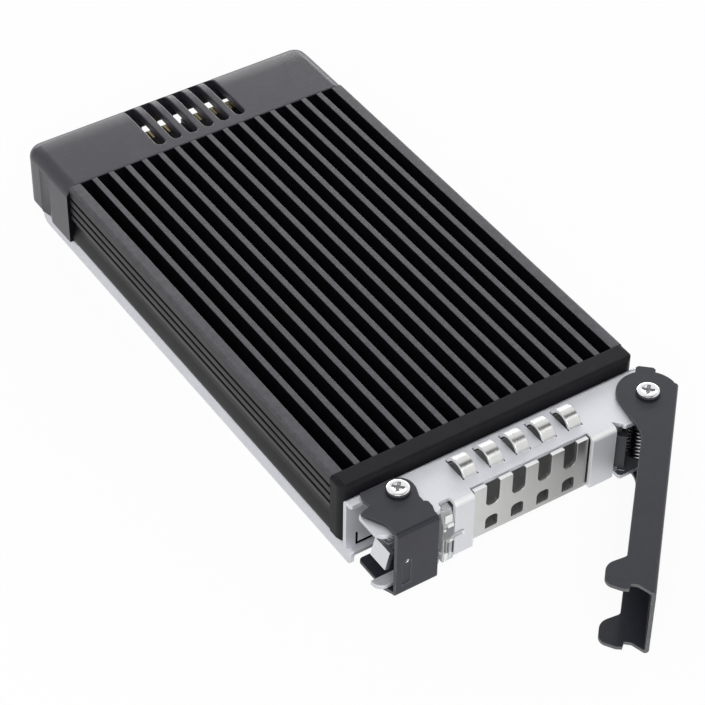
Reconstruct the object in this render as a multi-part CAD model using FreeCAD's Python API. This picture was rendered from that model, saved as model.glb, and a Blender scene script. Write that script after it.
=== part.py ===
"""Hot-swap drive tray: a folded steel tray with an ejector lever and a catch, carrying a finned drive."""
import FreeCAD
import Part
import math
import os

Vector = FreeCAD.Vector

# Drive sizes, in millimetres
drive_width = 69.85
drive_height = 15.0
heatsink_length = 103.5
rear_cap_length = 19.5
front_cap_length = 4.6

# Heatsink extrusion
fin_count = 15
fin_pitch = 4.1
fin_thickness = 1.3
fin_depth = 6.0
roof_thickness = 2.7
side_wall = 3.4
rail_width = 4.2
rail_lip = 1.5
foot_chamfer = 0.5
top_edge_radius = 0.8
groove_count = 3
groove_pitch = 2.1
groove_width = 0.75
groove_depth = 0.9
first_groove_drop = 3.0
cove_top_drop = 8.6
cove_bottom_drop = 13.6
cove_depth = 1.3
cove_radius = 2.2

# End caps of the drive
cap_wall = 2.0
cap_edge_radius = 2.8
cap_corner_radius = 3.4
cap_overhang = 0.7
vent_slot_count = 6
vent_slot_pitch = 4.08
vent_slot_width = 2.3
vent_slot_setback = 2.6
vent_slot_rear_wall = 1.0
vent_slot_drop = 7.5
cap_step_length = 6.7
cap_step_depth = 0.4
grip_rear = 6.6
grip_middle = 9.3
grip_front = 11.4
grip_depth = 0.7
grip_top_drop = 3.0
front_edge_radius = 1.2
front_corner_radius = 2.6
front_line_drop = 4.3
front_line_width = 0.5
front_line_depth = 0.4
connector_opening_width = 44.0
connector_opening_height = 6.45
connector_opening_bottom = 1.4
cap_floor = 1.2
cap_lower_radius = 0.6
tongue_inner = 14.0
tongue_outer = 25.0
tongue_thickness = 1.1
tongue_length = 4.0
tongue_gap = 0.1

# Board, module and connector inside the drive
cover_sheet = 1.0
cover_gap = 0.1
board_thickness = 1.2
board_lift = 0.8
board_gap = 0.1
board_slot_depth = 1.2
board_neck_inset = 3.0
board_rear_setback = 12.0
board_front_setback = 1.0
module_length = 80.0
module_width = 22.0
module_thickness = 0.8
module_lift = 1.1
module_socket_overlap = 3.0
module_margin = 5.0
socket_length = 8.0
socket_height = 2.4
socket_wall = 0.6
chip_height = 1.0
chip_length = 18.0
chip_width = 14.0
chip_count = 2
chip_pitch = 21.0
pad_inset = 1.0
controller_size = 15.0
standoff_radius = 2.0
module_hole_radius = 1.7
module_head_radius = 1.9
module_head_height = 0.8
module_screw_length = 1.8
module_screw_radius = 0.8
connector_width = 41.0
connector_height = 3.6
connector_length = 12.4
connector_setback = 1.6
contact_count = 32
contact_pitch = 1.02
contact_width = 0.5
contact_thickness = 0.15
contact_length = 2.6
contact_setback = 0.3
connector_key_width = 3.0
connector_key_depth = 1.2
connector_key_length = 8.0
connector_sill_gap = 0.3

# Folded tray
tray_sheet = 1.0
tray_side_gap = 0.075
runner_drop = 2.2
bend_radius = 1.2
runner_rear_setback = 5.9
runner_end_radius = 1.9
runner_front_lead = 1.65
wall_gap = 0.15
box_height = 12.8
foot_depth = 5.5
foot_left_inset = 7.0
foot_right_inset = 13.0
wall_slit_width = 0.5
wall_slit_height = 3.2
wall_slit_setback = 2.3
wall_slit_length = 4.4
small_corner = 0.8
hairline = 0.01
lip_drop = 1.0

# Front of the tray: setbacks from the wall's front face
front_depth = 13.45
tab_depth = 11.65
panel_depth = 10.55
lip_depth = 11.35
lever_side_depth = 11.95
flange_depth = 9.4
floor_depth = 10.35
lever_pivot_setback = 7.65
latch_pivot_setback = 3.45

# Front of the tray: places across the width, from the tray's left or right side
lever_pivot_inset = 3.8
latch_pivot_inset = 9.5
latch_right_inset = 12.6
latch_left_inset = 2.6
pipe_left_inset = 14.4
left_tab_inset = 17.3
left_tab_width = 4.5
panel_left_inset = 22.3
panel_width = 27.6
right_tab_inset = 14.3
right_tab_width = 5.8
left_tab_rise = 1.9
right_tab_rise = 2.5
tab_notch_width = 2.4
tab_notch_height = 1.2
tab_notch_rise = 7.0
relief_width = 1.5
relief_depth = 1.7
lip_corner_radius = 2.2
lip_back_setback = 8.75
lip_notch_width = 3.5
lip_notch_setback = 4.05
lip_stub_setback = 1.5
pivot_corner_radius = 4.1

# Vent panel and bridge lances
panel_rise = 15.5
notch_count = 4
notch_pitch = 6.15
notch_width = 3.1
notch_depth = 5.7
notch_radius = 1.3
hole_width = 2.9
hole_height = 3.1
hole_sill = 0.45
hole_radius = 1.0
lance_count = 5
lance_pitch = 6.23
lance_width = 3.0
lance_length = 6.4
lance_rise = 2.2
lance_sheet = 0.7
lance_setback = 0.7
lance_shift = 0.3
lance_side_gap = 0.25

# Guard tab beside the lever spring
guard_height = 9.2
guard_inset = 0.1
guard_back = 8.1
guard_run = 3.3
guard_lead = 3.1

# Lever and latch sheet
lever_sheet = 0.8
lever_gap = 0.2
lever_ground_gap = 0.2
lever_bend_radius = 0.9
lever_open_angle = 47.4
catch_gap = 0.35
catch_bump = 0.2
latch_runner_gap = 0.1
lever_tail = 3.9
ear_radius = 6.4
ear_blend_length = 11.5
ear_blend_radius = 8.0
ear_tangent = 3.0
lower_ear_scale = 0.7
arm_inner_offset = 0.3
hook_reach = 7.6
hook_low = -3.0
hook_high = 1.0
hook_root = 2.0
hook_corner = 0.5
hook_sweep_gap = 0.5
emboss_width = 2.0
emboss_height = 6.2
emboss_depth = 0.25
key_hole_radius = 0.5
bolt_thickness = 1.1
bolt_width = 5.0
bolt_height = 4.2
bolt_tilt = 15.0
bolt_bar = 1.4
bolt_stem = 1.0
bolt_stem_length = 4.4
bolt_standout = 0.55
bolt_setback = 5.25
bolt_drop = 0.1
emboss_inset = 2.5
emboss_lift = 0.3

# Lever end, from its tip: back along the arm, outwards, corner radius
lever_end = [(1.5, 2.4, 0.9), (1.5, 1.0), (0.1, 0.8), (0.0, -0.4), (0.9, -3.9, 2.0), (5.8, -4.0, 3.0),
             (8.4, -0.3, 0.9)]

# Catch sides: to the right of its right or left edge, back from its pivot, corner radius
latch_right_side = [(0.8, 3.3, 3.2), (0.3, -1.2, 3.0), (-0.5, -3.4), (-0.5, -4.9), (0.2, -4.9, 0.5),
                    (0.2, -6.8, 0.5), (-0.3, -8.2)]
latch_left_side = [(0.0, -6.3, 2.5), (-2.5, -1.3), (0.1, -0.4), (-0.2, 1.4), (0.4, 3.3)]
latch_face_inset = 0.3
latch_lower_left = 0.8
latch_lower_nose = 2.0
latch_lower_right = 0.5
latch_lower_corner = 2.0

# Light pipe
pipe_gap = 0.15
pipe_drop = 1.8
pipe_ground_gap = 0.3
pipe_stem = 2.6
pipe_slant_height = 3.0
pipe_slant_depth = 1.2
pipe_tongue_root = 1.0
pipe_tongue_standout = 0.2
pipe_tongue_depth = 0.6

# Pivots, screws and springs
post_radius = 2.2
spigot_radius = 1.5
running_clearance = 0.05
seat_clearance = 0.03
pivot_screw_radius = 1.0
pivot_screw_depth = 5.0
pivot_tip_gap = 0.5
pivot_head_radius = 2.45
pivot_head_height = 0.9
pivot_head_chamfer = 0.35
recess_width = 0.7
recess_span = 2.6
recess_depth = 0.5
lever_coil_radius = 3.95
lever_wire = 0.7
lever_coil_turns = 12
coil_headroom = 0.5
coil_steps = 9
latch_coil_radius = 2.85
latch_wire = 0.5
latch_coil_pitch = 1.2
latch_coil_turns = 4
latch_wall_leg = 5.0
spring_seat_gap = 0.3
mount_screw_radius = 1.5
mount_head_radius = 2.75
mount_head_height = 0.9
mount_side_inset = 4.065
mount_front_inset = 20.9
mount_rear_inset = 6.0
mount_screw_depth = 4.4
screw_tip_gap = 0.4

# Heights from the runners' lower edges
floor_bottom = runner_drop
floor_top = floor_bottom + tray_sheet
drive_bottom = floor_top
drive_top = drive_bottom + drive_height
flange_top = floor_top + box_height
flange_bottom = flange_top - tray_sheet
foot_top = floor_top + tray_sheet
pad_bottom = floor_bottom - lip_drop
pad_top = floor_top - lip_drop
lever_top = flange_top + lever_gap + lever_sheet
lever_bottom = lever_ground_gap
fin_floor = drive_top - fin_depth
roof_bottom = fin_floor - roof_thickness

rail_bottom = drive_bottom + cover_sheet + cover_gap
board_bottom = rail_bottom + board_lift
board_top = board_bottom + board_thickness
rail_top = board_top + rail_lip
module_bottom = board_top + module_lift
module_top = module_bottom + module_thickness
chip_top = module_top + chip_height
connector_top = board_top + connector_height
opening_bottom = drive_bottom + connector_opening_bottom

# Lengths along the tray, with zero at the drive's middle
drive_length = rear_cap_length + heatsink_length + front_cap_length
drive_front = -drive_length / 2
drive_rear = drive_length / 2
sink_front = drive_front + front_cap_length
sink_rear = drive_rear - rear_cap_length
wall_back = drive_front - wall_gap
wall_front = wall_back - tray_sheet
board_rear = drive_rear - board_rear_setback
board_front = sink_front + board_front_setback
front_face = wall_front - front_depth
tab_face = wall_front - tab_depth
panel_face = wall_front - panel_depth
flange_front = wall_front - flange_depth
floor_front = wall_front - floor_depth
lip_front = wall_front - lip_depth
lever_side_front = wall_front - lever_side_depth
runner_front = wall_front - runner_front_lead
runner_rear = drive_rear - runner_rear_setback
module_rear = sink_rear - socket_length / 2
module_front = module_rear - module_length
connector_rear = drive_rear - connector_setback
connector_front = connector_rear - connector_length

# Places across the tray
drive_half = drive_width / 2
tray_half = drive_half + tray_side_gap
lever_pivot = Vector(tray_half - lever_pivot_inset, wall_front - lever_pivot_setback, 0)
latch_pivot = Vector(-tray_half + latch_pivot_inset, wall_front - latch_pivot_setback, 0)
latch_right = -tray_half + latch_right_inset
latch_left = -tray_half + latch_left_inset
module_hole = Vector(0, module_front, 0)
pipe_left = -tray_half + pipe_left_inset
left_tab_start = -tray_half + left_tab_inset
left_tab_end = left_tab_start + left_tab_width
panel_left = -tray_half + panel_left_inset
panel_right = panel_left + panel_width
panel_middle = (panel_left + panel_right) / 2
right_tab_end = tray_half - right_tab_inset
right_tab_start = right_tab_end - right_tab_width
lever_reach = lever_pivot.x - latch_right - catch_bump - catch_gap
web_offset = lever_pivot.y - front_face


def box(low, high):
    """Block between two opposite corners."""
    size = [top - bottom for bottom, top in zip(low, high)]
    return Part.makeBox(size[0], size[1], size[2], Vector(*low))


def cylinder(radius, height, base, axis=Vector(0, 0, 1)):
    return Part.makeCylinder(radius, height, base, axis)


def fuse(first, *others):
    return first.multiFuse(list(others)).removeSplitter()


def flat(u, v):
    """Point of a plan outline."""
    return Vector(u, v, 0)


def across(u, v):
    """Point of an outline in the tray's cross-section."""
    return Vector(u, 0, v)


def along(u, v):
    """Point of an outline in the tray's long section."""
    return Vector(0, u, v)


def outline(corners, place):
    """Closed wire through corners (u, v) or (u, v, radius); a small radius is cut straight."""
    points = [place(corner[0], corner[1]) for corner in corners]
    radii = [corner[2] if len(corner) > 2 else 0.0 for corner in corners]
    edges = []
    ends = []
    for index, point in enumerate(points):
        before = (points[index - 1] - point).normalize()
        after = (points[(index + 1) % len(points)] - point).normalize()
        if radii[index] == 0.0:
            ends.append((point, None, point))
            continue
        half = before.getAngle(after) / 2
        reach = radii[index] / math.tan(half)
        middle = (before + after).normalize() * (radii[index] / math.sin(half) - radii[index])
        if radii[index] < small_corner:
            middle = None
        else:
            middle = point + middle
        ends.append((point + before * reach, middle, point + after * reach))
    for index, (start, middle, finish) in enumerate(ends):
        if middle is not None:
            edges.append(Part.Arc(start, middle, finish).toShape())
        elif start.distanceToPoint(finish) > 1e-6:
            edges.append(Part.LineSegment(start, finish).toShape())
        following = ends[(index + 1) % len(ends)][0]
        if finish.distanceToPoint(following) > 1e-6:
            edges.append(Part.LineSegment(finish, following).toShape())
    return Part.Wire(edges)


def slab(corners, bottom, top):
    """Plan outline raised from one height to another."""
    solid = Part.Face(outline(corners, flat)).extrude(Vector(0, 0, top - bottom))
    solid.translate(Vector(0, 0, bottom))
    return solid


def run(corners, start, finish):
    """Cross-section carried along the tray."""
    solid = Part.Face(outline(corners, across)).extrude(Vector(0, finish - start, 0))
    solid.translate(Vector(0, start, 0))
    return solid


def bar(corners, left, right):
    """Long section carried across the tray."""
    solid = Part.Face(outline(corners, along)).extrude(Vector(right - left, 0, 0))
    solid.translate(Vector(left, 0, 0))
    return solid


def mirrored(corners):
    """The same outline on the other side of the middle plane, in the same turning sense."""
    return [(-corner[0],) + tuple(corner[1:]) for corner in reversed(corners)]


def screw(head_radius, head_height, shank_radius, shank_length):
    """Flat-topped screw with its seat at zero and its shank pointing down."""
    head = cylinder(head_radius, head_height, Vector(0, 0, 0))
    shank = cylinder(shank_radius, shank_length, Vector(0, 0, -shank_length))
    return fuse(head, shank)


def placed(shape, point, angle=0.0):
    moved = shape.copy()
    if angle:
        moved.rotate(Vector(0, 0, 0), Vector(1, 0, 0), angle)
    moved.translate(point)
    return moved


def mount_points():
    """Plan places of the screws that hold the drive to the tray."""
    side = drive_half - mount_side_inset
    ends = (sink_front + mount_front_inset, sink_rear - mount_rear_inset)
    return [Vector(x, y, 0) for x in (-side, side) for y in ends]


parts = {}


# Drive housing
def side_profile():
    """Left side of the extrusion, from the foot of its wall up to the top edge."""
    half = drive_half
    cove_middle = drive_top - (cove_top_drop + cove_bottom_drop) / 2
    corners = [(-half + foot_chamfer, drive_bottom), (-half, drive_bottom + foot_chamfer),
               (-half, drive_top - cove_bottom_drop), (-half + cove_depth, cove_middle, cove_radius),
               (-half, drive_top - cove_top_drop)]
    for groove in reversed(range(groove_count)):
        middle = drive_top - first_groove_drop - groove * groove_pitch
        for depth, level in ((0, -1), (groove_depth, -1), (groove_depth, 1), (0, 1)):
            corners.append((-half + depth, middle + level * groove_width / 2))
    corners.append((-half, drive_top, top_edge_radius))
    return corners


def inner_profile():
    """Right inside of the extrusion: screw rail with a slot that holds the board's edge."""
    wall = drive_half - side_wall
    rail = wall - rail_width
    slot = rail + board_slot_depth
    return [(wall, drive_bottom), (wall, rail_bottom), (rail, rail_bottom), (rail, board_bottom - board_gap),
            (slot, board_bottom - board_gap), (slot, board_top + board_gap), (rail, board_top + board_gap),
            (rail, rail_top), (wall, rail_top), (wall, roof_bottom)]


def heatsink():
    gap_count = fin_count + 1
    gap_half = (fin_pitch - fin_thickness) / 2
    gaps = []
    for gap in range(gap_count):
        middle = (gap - (gap_count - 1) / 2) * fin_pitch
        for side, level in ((-1, drive_top), (-1, fin_floor), (1, fin_floor), (1, drive_top)):
            gaps.append((middle + side * gap_half, level))
    left = side_profile()
    inside = inner_profile()
    body = run(left + gaps + mirrored(left) + inside + mirrored(inside), sink_front, sink_rear)
    depth = mount_screw_depth + screw_tip_gap
    for point in mount_points():
        base = point + Vector(0, 0, drive_bottom)
        body = body.cut(cylinder(mount_screw_radius + seat_clearance, depth, base))
    return body


def cap_tongues(start, finish):
    """Two flat tongues of an end cap that push in under the extrusion's roof."""
    top = roof_bottom - tongue_gap
    return [box((min(side * tongue_inner, side * tongue_outer), start, top - tongue_thickness),
                (max(side * tongue_inner, side * tongue_outer), finish, top)) for side in (-1, 1)]


def rear_cap():
    side = drive_half + cap_overhang
    shell = slab([(-side, sink_rear), (side, sink_rear), (side, drive_rear, cap_corner_radius),
                  (-side, drive_rear, cap_corner_radius)], drive_bottom, drive_top)
    rim = [edge for edge in shell.Edges
           if edge.BoundBox.ZMin > drive_top - hairline and edge.BoundBox.YMax > sink_rear + hairline]
    shell = shell.makeFillet(cap_edge_radius, rim)
    section = [(sink_rear, drive_bottom), (drive_rear - cap_step_length, drive_bottom),
               (drive_rear - cap_step_length, drive_bottom + cap_step_depth),
               (drive_rear, drive_bottom + cap_step_depth, cap_lower_radius),
               (drive_rear, drive_top), (sink_rear, drive_top)]
    body = shell.common(bar(section, -side, side))
    inner = drive_half - cap_wall
    hollow_floor = drive_bottom + cap_floor
    hollow = bar([(sink_rear + cap_wall, hollow_floor), (drive_rear - cap_wall, hollow_floor),
                  (drive_rear - cap_wall, drive_top - cap_wall, cap_edge_radius - cap_wall),
                  (sink_rear + cap_wall, drive_top - cap_wall)], -inner, inner)
    mouth = box((-inner, sink_rear, hollow_floor), (inner, sink_rear + cap_wall, roof_bottom))
    half = connector_opening_width / 2
    opening = box((-half, drive_rear - 2 * cap_wall, opening_bottom),
                  (half, drive_rear, opening_bottom + connector_opening_height))
    body = body.cut(hollow).cut(mouth).cut(opening)
    grip = [(-side - 1, drive_rear - grip_rear), (-side, drive_rear - grip_rear),
            (-side + grip_depth, drive_rear - grip_middle), (-side, drive_rear - grip_front),
            (-side - 1, drive_rear - grip_front)]
    for corners in (grip, mirrored(grip)):
        body = body.cut(slab(corners, drive_bottom, drive_top - grip_top_drop))
    slot_front = sink_rear + vent_slot_setback
    slot_rear = drive_rear - vent_slot_rear_wall
    first = -(vent_slot_count - 1) / 2 * vent_slot_pitch
    for index in range(vent_slot_count):
        middle = first + index * vent_slot_pitch
        left = middle - vent_slot_width / 2
        right = middle + vent_slot_width / 2
        end = vent_slot_width / 2 - hairline
        body = body.cut(slab([(left, slot_front, end), (right, slot_front, end), (right, slot_rear),
                              (left, slot_rear)], drive_top - vent_slot_drop, drive_top + 1))
    roots = [box((root.BoundBox.XMin, sink_rear, root.BoundBox.ZMin),
                 (root.BoundBox.XMax, sink_rear + cap_wall, roof_bottom + tongue_thickness))
             for root in cap_tongues(sink_rear, sink_rear + cap_wall)]
    return fuse(body, *roots, *cap_tongues(sink_rear - tongue_length, sink_rear + cap_wall))


def front_cap():
    section = [(sink_front, drive_bottom), (sink_front, drive_top),
               (drive_front, drive_top, front_edge_radius), (drive_front, drive_bottom)]
    body = bar(section, -drive_half, drive_half)
    plan = slab([(-drive_half, sink_front), (-drive_half, drive_front, front_corner_radius),
                 (drive_half, drive_front, front_corner_radius), (drive_half, sink_front)],
                drive_bottom - 1, drive_top + 1)
    sides = run([(-drive_half, drive_bottom - 1), (-drive_half, drive_top, front_edge_radius),
                 (drive_half, drive_top, front_edge_radius), (drive_half, drive_bottom - 1)],
                drive_front - 1, sink_front + 1)
    line = drive_top - front_line_drop
    groove = box((-drive_half, drive_front, line), (drive_half, drive_front + front_line_depth,
                                                    line + front_line_width))
    body = body.common(plan).common(sides).cut(groove)
    return fuse(body, *cap_tongues(sink_front - cap_wall, sink_front + tongue_length))


def bottom_cover():
    half = drive_half - side_wall - cover_gap
    body = box((-half, sink_front, drive_bottom), (half, sink_rear, drive_bottom + cover_sheet))
    for point in mount_points():
        base = point + Vector(0, 0, drive_bottom)
        body = body.cut(cylinder(mount_screw_radius + running_clearance, cover_sheet, base))
    return body


def circuit_board():
    half = drive_half - side_wall - rail_width + board_slot_depth - board_gap
    neck = half - board_neck_inset
    return slab([(-half, board_front), (half, board_front), (half, sink_rear - 1), (neck, sink_rear - 1),
                 (neck, board_rear), (-neck, board_rear), (-neck, sink_rear - 1), (-half, sink_rear - 1)],
                board_bottom, board_top)


def module_socket():
    half = module_width / 2 + socket_wall
    low = module_rear - module_socket_overlap
    body = box((-half, low, board_top), (half, low + socket_length, board_top + socket_height))
    return body.cut(box((-module_width / 2, low, module_bottom), (module_width / 2, module_rear, module_top)))


def ssd_module():
    half = module_width / 2
    body = box((-half, module_front, module_bottom), (half, module_rear, module_top))
    return body.cut(cylinder(module_hole_radius, module_thickness, module_hole + Vector(0, 0, module_bottom)))


def memory_chips():
    first = module_front + chip_length / 2 + module_margin
    group = []
    for index in range(chip_count):
        middle = first + index * chip_pitch
        group.append(box((-chip_width / 2, middle - chip_length / 2, module_top),
                         (chip_width / 2, middle + chip_length / 2, chip_top)))
    return Part.makeCompound(group)


def controller_chip():
    rear = module_rear - module_socket_overlap - module_margin
    half = controller_size / 2
    return box((-half, rear - controller_size, module_top), (half, rear, chip_top))


def thermal_pad():
    half = module_width / 2 - pad_inset
    front = module_front + module_margin - pad_inset
    rear = module_rear - module_socket_overlap - module_margin + pad_inset
    return box((-half, front, chip_top), (half, rear, roof_bottom))


def module_standoff():
    base = module_hole + Vector(0, 0, board_top)
    post = cylinder(standoff_radius, module_lift, base)
    return post.cut(cylinder(module_screw_radius + seat_clearance, module_lift, base))


def module_screw():
    one = screw(module_head_radius, module_head_height, module_screw_radius, module_screw_length)
    return placed(one, module_hole + Vector(0, 0, module_top))


def rear_connector():
    half = connector_width / 2
    back = box((-half, connector_front, board_top), (half, board_rear, connector_top))
    tongue_bottom = max(board_top, opening_bottom + connector_sill_gap)
    tongue = box((-half, board_rear, tongue_bottom), (half, connector_rear, connector_top))
    key = box((0, connector_rear - connector_key_length, connector_top - connector_key_depth),
              (connector_key_width, connector_rear, connector_top))
    return fuse(back, tongue).cut(key)


def connector_contacts():
    """Flat contacts on the upper side of the plug; the key takes the place of some."""
    first = -(contact_count - 1) / 2 * contact_pitch
    rear = connector_rear - contact_setback
    strips = []
    for index in range(contact_count):
        left = first + index * contact_pitch - contact_width / 2
        if left + contact_width < 0 or left > connector_key_width:
            strips.append(box((left, rear - contact_length, connector_top),
                              (left + contact_width, rear, connector_top + contact_thickness)))
    return Part.makeCompound(strips)


# Tray
def notch_middles():
    first = panel_middle - (notch_count - 1) / 2 * notch_pitch
    return [first + index * notch_pitch for index in range(notch_count)]


def tray_base():
    half = tray_half
    inner = half - tray_sheet
    channel = run([(-half, 0), (-half, floor_top, bend_radius), (half, floor_top, bend_radius), (half, 0),
                   (inner, 0), (inner, floor_bottom, bend_radius - tray_sheet),
                   (-inner, floor_bottom, bend_radius - tray_sheet), (-inner, 0)], runner_front, runner_rear)
    side_view = bar([(runner_front, 0, runner_end_radius / 2), (runner_rear, 0, runner_end_radius),
                     (runner_rear, floor_top), (runner_front, floor_top)], -half, half)
    body = channel.common(side_view)
    lip_back = wall_front - lip_back_setback
    pad_left = right_tab_end + relief_width
    floor = slab([(pipe_left, runner_front + 1), (pipe_left, floor_front), (pad_left, floor_front),
                  (pad_left, runner_front + 1)], floor_bottom, floor_top)
    lip = slab([(-half, lip_back), (-half, lip_front, lip_corner_radius), (pipe_left, lip_front, 0.4),
                (pipe_left, floor_front), (pipe_left + tray_sheet, floor_front),
                (pipe_left + tray_sheet, lip_back)], pad_bottom, pad_top)
    pad = slab([(pad_left, runner_front + 1), (pad_left, lever_side_front, 0.5),
                (half, lever_side_front, pivot_corner_radius), (half, runner_front + 1)], pad_bottom, pad_top)
    steps = [box((pipe_left, floor_front, pad_bottom), (pipe_left + tray_sheet, lip_back, floor_top)),
             box((pad_left, floor_front, pad_bottom), (pad_left + tray_sheet, runner_front + 1, floor_top)),
             box((pad_left, runner_front, pad_bottom), (half - tray_sheet, runner_front + 1, floor_top))]
    panel = bar([(floor_front + 3, floor_bottom), (panel_face, floor_bottom, bend_radius),
                 (panel_face, panel_rise), (panel_face + tray_sheet, panel_rise),
                 (panel_face + tray_sheet, floor_top, bend_radius - tray_sheet),
                 (floor_front + 3, floor_top)], panel_left, panel_right)
    for middle in notch_middles():
        left = middle - notch_width / 2
        notch = run([(left, panel_rise + 1), (left, panel_rise - notch_depth, notch_radius),
                     (left + notch_width, panel_rise - notch_depth, notch_radius),
                     (left + notch_width, panel_rise + 1)], panel_face - 1, panel_face + 1.5)
        low = middle - hole_width / 2
        sill = floor_top + hole_sill
        hole = run([(low, sill), (low, sill + hole_height, hole_radius),
                    (low + hole_width, sill + hole_height, hole_radius), (low + hole_width, sill)],
                   panel_face - 1, panel_face + 1.5)
        panel = panel.cut(notch).cut(hole)
    guard_left = right_tab_end - guard_inset
    guard_rear = wall_front - guard_back
    guard = slab([(guard_left, guard_rear), (guard_left + guard_run, guard_rear - guard_lead),
                  (guard_left + guard_run + tray_sheet, guard_rear - guard_lead + tray_sheet),
                  (guard_left + tray_sheet, guard_rear + tray_sheet)], pad_bottom, pad_top + guard_height)
    body = fuse(body, floor, lip, pad, *steps, panel, guard)
    for point in mount_points():
        body = body.cut(cylinder(mount_screw_radius + running_clearance, floor_top, point))
    body = body.cut(cylinder(spigot_radius + seat_clearance, floor_top, lever_pivot))
    sweep = math.hypot(hook_reach, hook_low) + hook_sweep_gap
    return body.cut(cylinder(sweep, pad_bottom, lever_pivot))


def lance(left):
    """Strip of the flange that is sheared free and arched upwards."""
    back = wall_front - lance_setback
    front = back - lance_length
    middle = (back + front) / 2
    crown = flange_top + lance_rise
    upper = Part.Arc(along(back, flange_top), along(middle, crown), along(front, flange_top)).toShape()
    lower = Part.Arc(along(front + lance_sheet, flange_bottom), along(middle, crown - lance_sheet),
                     along(back - lance_sheet, flange_bottom)).toShape()
    feet = [Part.makePolygon([along(front, flange_top), along(front, flange_bottom),
                              along(front + lance_sheet, flange_bottom)]),
            Part.makePolygon([along(back - lance_sheet, flange_bottom), along(back, flange_bottom),
                              along(back, flange_top)])]
    wire = Part.Wire([upper] + feet[0].Edges + [lower] + feet[1].Edges)
    strip = Part.Face(wire).extrude(Vector(lance_width, 0, 0))
    strip.translate(Vector(left, 0, 0))
    window = box((left - lance_side_gap, front, flange_bottom),
                 (left + lance_width + lance_side_gap, back, flange_top))
    return strip, window


def folded_tab(left, right, rise):
    return bar([(flange_front + 1, flange_bottom),
                (tab_face + tray_sheet, flange_bottom, bend_radius - tray_sheet),
                (tab_face + tray_sheet, rise), (tab_face, rise), (tab_face, flange_top, bend_radius),
                (flange_front + 1, flange_top)], left, right)


def notch_outline(start, gap):
    """Round-ended notch of the left tab, which also shapes the light pipe's tongue a gap smaller."""
    end = left_tab_start + tab_notch_width - gap
    low = tab_notch_rise + gap
    high = tab_notch_rise + tab_notch_height - gap
    corner = (high - low) / 2 - hairline
    return [(start, low), (end, low, corner), (end, high, corner), (start, high)]


def front_bracket():
    half = tray_half
    wall = bar([(wall_back, floor_top), (wall_back, flange_top, bend_radius), (wall_front - 1, flange_top),
                (wall_front - 1, flange_bottom), (wall_front, flange_bottom, bend_radius - tray_sheet),
                (wall_front, floor_top)], -half, half)
    foot = box((-half + foot_left_inset, wall_front - foot_depth, floor_top),
               (half - foot_right_inset, wall_front, foot_top))
    notch_back = wall_front - lip_notch_setback
    stub_front = wall_front - lip_stub_setback
    relief_end = relief_width / 2 - hairline
    flange = slab([(-half, wall_front), (-half, stub_front, 0.4), (-half + lip_notch_width, stub_front),
                   (-half + lip_notch_width, notch_back, 0.5), (-half, notch_back, 0.4),
                   (-half, lip_front, lip_corner_radius), (pipe_left, lip_front, 0.8),
                   (pipe_left, flange_front, 0.8), (left_tab_start, flange_front),
                   (right_tab_end, flange_front),
                   (right_tab_end, lever_side_front + relief_depth, relief_end),
                   (right_tab_end + relief_width, lever_side_front + relief_depth, relief_end),
                   (right_tab_end + relief_width, lever_side_front, 0.4),
                   (half, lever_side_front, pivot_corner_radius), (half, wall_front)],
                  flange_bottom, flange_top)
    slit_left = -half + wall_slit_setback
    slits = fuse(box((slit_left, wall_front, floor_top),
                     (slit_left + wall_slit_width, wall_back, floor_top + wall_slit_height)),
                 box((slit_left, wall_front, floor_top),
                     (slit_left + wall_slit_length, wall_back, floor_top + wall_slit_width)))
    left_tab = folded_tab(left_tab_start, left_tab_end, left_tab_rise)
    notch = run(notch_outline(left_tab_start, 0.0), tab_face, tab_face + tray_sheet)
    right_tab = folded_tab(right_tab_start, right_tab_end, right_tab_rise)
    body = fuse(wall.cut(slits), foot, flange, left_tab.cut(notch), right_tab)
    first = panel_middle + lance_shift - (lance_count - 1) / 2 * lance_pitch - lance_width / 2
    for index in range(lance_count):
        strip, window = lance(first + index * lance_pitch)
        body = fuse(body.cut(window), strip)
    bores = [(lever_pivot, flange_bottom), (latch_pivot, flange_bottom), (latch_pivot, floor_top)]
    for pivot, level in bores:
        body = body.cut(cylinder(spigot_radius + seat_clearance, tray_sheet, pivot + Vector(0, 0, level)))
    return body


def drive_screws():
    one = screw(mount_head_radius, mount_head_height, mount_screw_radius, tray_sheet + mount_screw_depth)
    seats = [point + Vector(0, 0, floor_bottom) for point in mount_points()]
    return Part.makeCompound([placed(one, seat, 180) for seat in seats])


def light_pipe():
    left = pipe_left + pipe_gap
    right = left_tab_start - pipe_gap
    top = flange_top - pipe_drop
    low = lever_bottom + lever_sheet + pipe_ground_gap
    head = box((left, tab_face, low), (right, floor_front - pipe_gap, top))
    stem = box((left, floor_front - pipe_gap, floor_top), (right, floor_front + pipe_stem, top))
    tongue = run(notch_outline(left_tab_start - pipe_tongue_root, pipe_gap),
                 tab_face - pipe_tongue_standout, tab_face + pipe_tongue_depth)
    slant = bar([(tab_face, top - pipe_slant_height), (tab_face, top), (tab_face + pipe_slant_depth, top)],
                left, right)
    return fuse(head.fuse(stem).cut(slant), tongue)


# Pivots and springs
def pivot_post(pivot, seat):
    """Shouldered post between its seat and the flange, with spigots that carry the moving plates."""
    barrel = cylinder(post_radius, flange_bottom - seat, pivot + Vector(0, 0, seat))
    upper = cylinder(spigot_radius, lever_top - flange_bottom, pivot + Vector(0, 0, flange_bottom))
    lower = cylinder(spigot_radius, seat - lever_bottom, pivot + Vector(0, 0, lever_bottom))
    post = fuse(barrel, upper, lower)
    depth = pivot_screw_depth + pivot_tip_gap
    bore = cylinder(pivot_screw_radius + seat_clearance, depth, pivot + Vector(0, 0, lever_top - depth))
    return post.cut(bore)


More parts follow.
